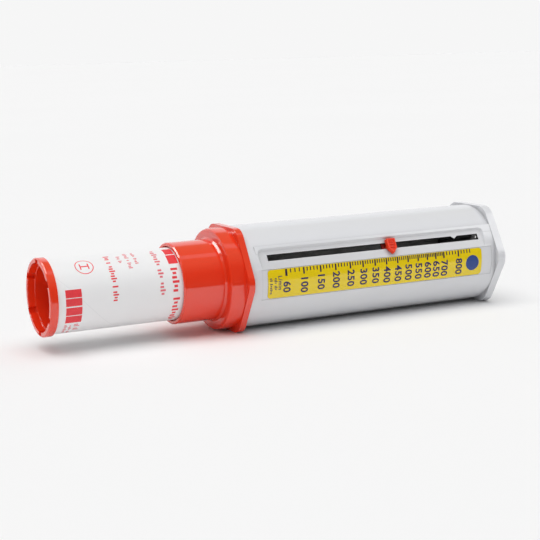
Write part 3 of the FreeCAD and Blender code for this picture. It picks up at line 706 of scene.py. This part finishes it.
def make_label_marks():
    """The scale's unit, two rows of plain bars before the scale and the blue disc at its end."""
    top = LABEL_TOP * LABEL_RADIUS
    marks = reading_down(text_outlines("L/min", UNIT_SIZE, UNIT_BOLD),
                         LABEL_FRONT + UNIT_STATION, top - UNIT_DROP)
    for low, high, start, end, words in LABEL_ROWS:
        marks += bar_row(LABEL_FRONT + low, LABEL_FRONT + high, top - start, top - end, words)
    wrapped("scale_unit", marks, LABEL_RADIUS, navy, "meter")
    disc = round_points(LABEL_FRONT + DISC_STATION, DISC_ANGLE * LABEL_RADIUS, DISC_RADIUS)
    wrapped("scale_disc", [disc], LABEL_RADIUS, blue, "meter")


def make_pointer_ribs():
    """Three low grip ribs across the pointer's face."""
    corners = [vert.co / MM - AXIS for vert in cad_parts["pointer"].data.vertices]
    face = max(corner.dot(OUTWARD) for corner in corners)
    top = max(corner.dot(UPWARD) for corner in corners if corner.dot(OUTWARD) > face - FACE_BAND)
    middle = (min(corner.x for corner in corners) + max(corner.x for corner in corners)) / 2
    build = bmesh.new()
    for step in range(RIB_COUNT):
        rise = top - RIB_START - step * RIB_PITCH
        for vert in bmesh.ops.create_cube(build, size=1.0)["verts"]:
            across, out, up = vert.co
            place = AXIS + Vector((middle + across * RIB_WIDTH, 0, 0))
            place += OUTWARD * (face - RIB_SUNK + out * RIB_DEPTH) + UPWARD * (rise + up * RIB_HEIGHT)
            vert.co = place * MM
    bmesh.ops.recalc_face_normals(build, faces=build.faces[:])
    ribs = meshed("pointer_ribs", build, satin_red)
    soften = ribs.modifiers.new("edge", "BEVEL")
    soften.width = RIB_ROUND * MM
    soften.segments = EDGE_STEPS
    smooth(ribs.data)
    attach(ribs, "pointer")


def make_camera():
    """Stand the camera at the photograph's place and turn."""
    back = Vector((math.sin(CAMERA_AZIMUTH) * math.cos(CAMERA_ELEVATION),
                   -math.cos(CAMERA_AZIMUTH) * math.cos(CAMERA_ELEVATION), math.sin(CAMERA_ELEVATION)))
    right = (-back).cross(Vector((0, 0, 1))).normalized()
    up = right.cross(-back)
    rolled_right = right * math.cos(CAMERA_ROLL) + up * math.sin(CAMERA_ROLL)
    rolled_up = up * math.cos(CAMERA_ROLL) - right * math.sin(CAMERA_ROLL)
    data = bpy.data.cameras.new("camera")
    data.lens = CAMERA_LENS
    data.sensor_width = CAMERA_SENSOR
    data.clip_start = CAMERA_NEAR
    camera = in_scene("camera", data)
    turn = Matrix((rolled_right, rolled_up, back)).transposed()
    camera.matrix_world = Matrix.Translation(CAMERA_PLACE) @ turn.to_4x4()
    bpy.context.scene.camera = camera


def make_floor():
    """Pale plain floor."""
    material, tree, shader = node_tree("floor_white")
    cloud = noise(tree, object_coordinates(tree), FLOOR_SCALE)
    tree.links.new(mixed(tree, cloud, level(0.90), level(0.915)), shader.inputs["Base Color"])
    shader.inputs["Roughness"].default_value = 0.9
    shader.inputs["Specular IOR Level"].default_value = 0.0
    build = bmesh.new()
    bmesh.ops.create_grid(build, x_segments=1, y_segments=1, size=FLOOR_REACH)
    floor = meshed("floor", build, material)


def make_dark_card():
    """Black card on the floor in front, which only polished faces see."""
    material, _, shader = node_tree("card_black")
    shader.inputs["Base Color"].default_value = level(0.02)
    shader.inputs["Roughness"].default_value = 1.0
    build = bmesh.new()
    corners = [(-CARD_REACH, -CARD_REACH), (CARD_REACH, -CARD_REACH), (CARD_REACH, CARD_EDGE),
               (-CARD_REACH, CARD_EDGE)]
    build.faces.new([build.verts.new((x, y, CARD_LIFT)) for x, y in corners])
    dark_card = meshed("dark_card", build, material)
    for kind in ("camera", "diffuse", "shadow", "transmission", "volume_scatter"):
        setattr(dark_card, "visible_" + kind, False)


def make_room(tree, way):
    """Build what polished faces see: dim room, paler ceiling with a lit strip, and a pale wall."""
    parts = split(tree, way)
    slope = add(tree, "ShaderNodeVectorMath", operation="DOT_PRODUCT")
    slope.inputs[1].default_value = CEILING_WAY
    tree.links.new(way, slope.inputs[0])
    rise = remap(tree, slope.outputs["Value"], 0.0, 1.0, *CEILING_FROM)
    ceiling = mixed(tree, rise, level(ROOM_GLOSS), CEILING_COLOR)
    front = math_node(tree, "MULTIPLY", parts["Y"], -1.0)
    pitch = math_node(tree, "ARCTAN2", parts["Z"], front)
    off_strip = math_node(tree, "ABSOLUTE", math_node(tree, "SUBTRACT", pitch, STRIP_PITCH))
    strip = remap(tree, off_strip, 1.0, 0.0, STRIP_HALF * STRIP_FULL, STRIP_HALF)
    upper = mixed(tree, strip, ceiling, STRIP_COLOR)
    wall = remap(tree, parts["Y"], 0.0, 1.0, *WALL_FROM)
    return mixed(tree, wall, upper, level(WALL_GLOSS))


def make_world():
    """Even pale light, and a room of its own for polished faces."""
    world = bpy.data.worlds.new("studio")
    world.use_nodes = True
    tree = world.node_tree
    background = tree.nodes["Background"]
    room = make_room(tree, add(tree, "ShaderNodeTexCoord").outputs["Generated"])
    path = add(tree, "ShaderNodeLightPath")
    lit = mixed(tree, path.outputs["Is Glossy Ray"], level(SKY_LIGHT), room)
    seen = mixed(tree, path.outputs["Is Camera Ray"], lit, level(BACKDROP))
    tree.links.new(seen, background.inputs["Color"])
    background.inputs["Strength"].default_value = 1.0
    bpy.context.scene.world = world


def make_sun():
    """Wide overhead light, the same all over the floor."""
    data = bpy.data.lights.new("top_light", "SUN")
    data.energy = SUN_LIGHT
    data.angle = SUN_WIDTH
    lamp = in_scene("top_light", data)
    lamp.rotation_euler = Vector(SUN_FROM).to_track_quat("Z", "Y").to_euler()
    lamp.visible_glossy = False


def make_soft_box(name, direction, width, height, power):
    """Hang a rectangular softbox that only shows in polished faces."""
    data = bpy.data.lights.new(name, "AREA")
    data.shape = "RECTANGLE"
    data.size = width
    data.size_y = height
    data.energy = power
    lamp = in_scene(name, data)
    lamp.location = Vector(direction).normalized() * BOX_DISTANCE
    lamp.rotation_euler = (lamp.location - BOX_AIM).to_track_quat("Z", "Y").to_euler()
    lamp.visible_diffuse = False
    lamp.visible_camera = False


for node_name, material in NODE_MATERIALS.items():
    dress_node(node_name, material)
make_pointer_ribs()
make_ticks()
make_numbers()
make_label_marks()
make_tube_prints()
make_camera()
make_floor()
make_world()
make_sun()
make_dark_card()
for box_name, box in SOFT_BOXES.items():
    make_soft_box(box_name, *box)
bpy.context.scene.view_settings.view_transform = "Standard"
